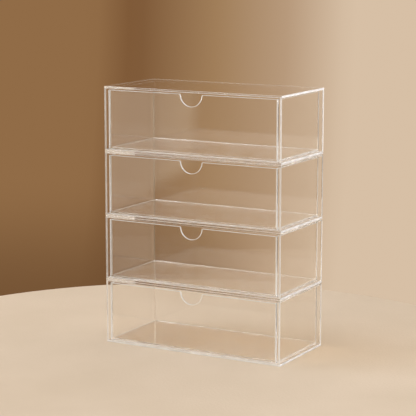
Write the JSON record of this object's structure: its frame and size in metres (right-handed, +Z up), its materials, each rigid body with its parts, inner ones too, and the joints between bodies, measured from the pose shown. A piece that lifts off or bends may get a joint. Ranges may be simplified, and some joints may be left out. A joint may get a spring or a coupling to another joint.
{
  "type": "stackable drawer organizer",
  "caption": "Stack of open-fronted clear acrylic boxes, each holding a shallow clear drawer with a half-round finger notch in its front.",
  "frame": {"origin": "middle of the lowest unit's underside, on the surface that the stack stands on", "axes": "+Z up through the stack, -Y the way the drawers open, +X to the right as seen from the front"},
  "size_m": [0.28, 0.131, 0.3704],
  "materials": {
    "case_acrylic": "polished",
    "drawer_acrylic": "polished"
  },
  "bodies": {
    "unit1_case": {"unit1_case_bottom": "case_acrylic", "unit1_case_top": "case_acrylic", "unit1_case_back": "case_acrylic", "unit1_case_left_wall": "case_acrylic", "unit1_case_right_wall": "case_acrylic"},
    "unit1_drawer": {"unit1_drawer_front": "drawer_acrylic", "unit1_drawer_floor": "drawer_acrylic", "unit1_drawer_back": "drawer_acrylic", "unit1_drawer_left_side": "drawer_acrylic", "unit1_drawer_right_side": "drawer_acrylic"},
    "unit2_case": {"unit2_case_bottom": "case_acrylic", "unit2_case_top": "case_acrylic", "unit2_case_back": "case_acrylic", "unit2_case_left_wall": "case_acrylic", "unit2_case_right_wall": "case_acrylic"},
    "unit2_drawer": {"unit2_drawer_front": "drawer_acrylic", "unit2_drawer_floor": "drawer_acrylic", "unit2_drawer_back": "drawer_acrylic", "unit2_drawer_left_side": "drawer_acrylic", "unit2_drawer_right_side": "drawer_acrylic"},
    "unit3_case": {"unit3_case_bottom": "case_acrylic", "unit3_case_top": "case_acrylic", "unit3_case_back": "case_acrylic", "unit3_case_left_wall": "case_acrylic", "unit3_case_right_wall": "case_acrylic"},
    "unit3_drawer": {"unit3_drawer_front": "drawer_acrylic", "unit3_drawer_floor": "drawer_acrylic", "unit3_drawer_back": "drawer_acrylic", "unit3_drawer_left_side": "drawer_acrylic", "unit3_drawer_right_side": "drawer_acrylic"},
    "unit4_case": {"unit4_case_bottom": "case_acrylic", "unit4_case_top": "case_acrylic", "unit4_case_back": "case_acrylic", "unit4_case_left_wall": "case_acrylic", "unit4_case_right_wall": "case_acrylic"},
    "unit4_drawer": {"unit4_drawer_front": "drawer_acrylic", "unit4_drawer_floor": "drawer_acrylic", "unit4_drawer_back": "drawer_acrylic", "unit4_drawer_left_side": "drawer_acrylic", "unit4_drawer_right_side": "drawer_acrylic"}
  },
  "joints": [
    {"name": "unit2_lift", "type": "slide", "parent": "unit1_case", "child": "unit2_case", "axis": [0, 0, 1], "range_m": [0, 0.1]},
    {"name": "unit3_lift", "type": "slide", "parent": "unit2_case", "child": "unit3_case", "axis": [0, 0, 1], "range_m": [0, 0.1]},
    {"name": "unit4_lift", "type": "slide", "parent": "unit3_case", "child": "unit4_case", "axis": [0, 0, 1], "range_m": [0, 0.1]},
    {"name": "unit1_drawer_slide", "type": "slide", "parent": "unit1_case", "child": "unit1_drawer", "axis": [0, -1, 0], "range_m": [0, 0.1]},
    {"name": "unit2_drawer_slide", "type": "slide", "parent": "unit2_case", "child": "unit2_drawer", "axis": [0, -1, 0], "range_m": [0, 0.1]},
    {"name": "unit3_drawer_slide", "type": "slide", "parent": "unit3_case", "child": "unit3_drawer", "axis": [0, -1, 0], "range_m": [0, 0.1]},
    {"name": "unit4_drawer_slide", "type": "slide", "parent": "unit4_case", "child": "unit4_drawer", "axis": [0, -1, 0], "range_m": [0, 0.1]}
  ]
}
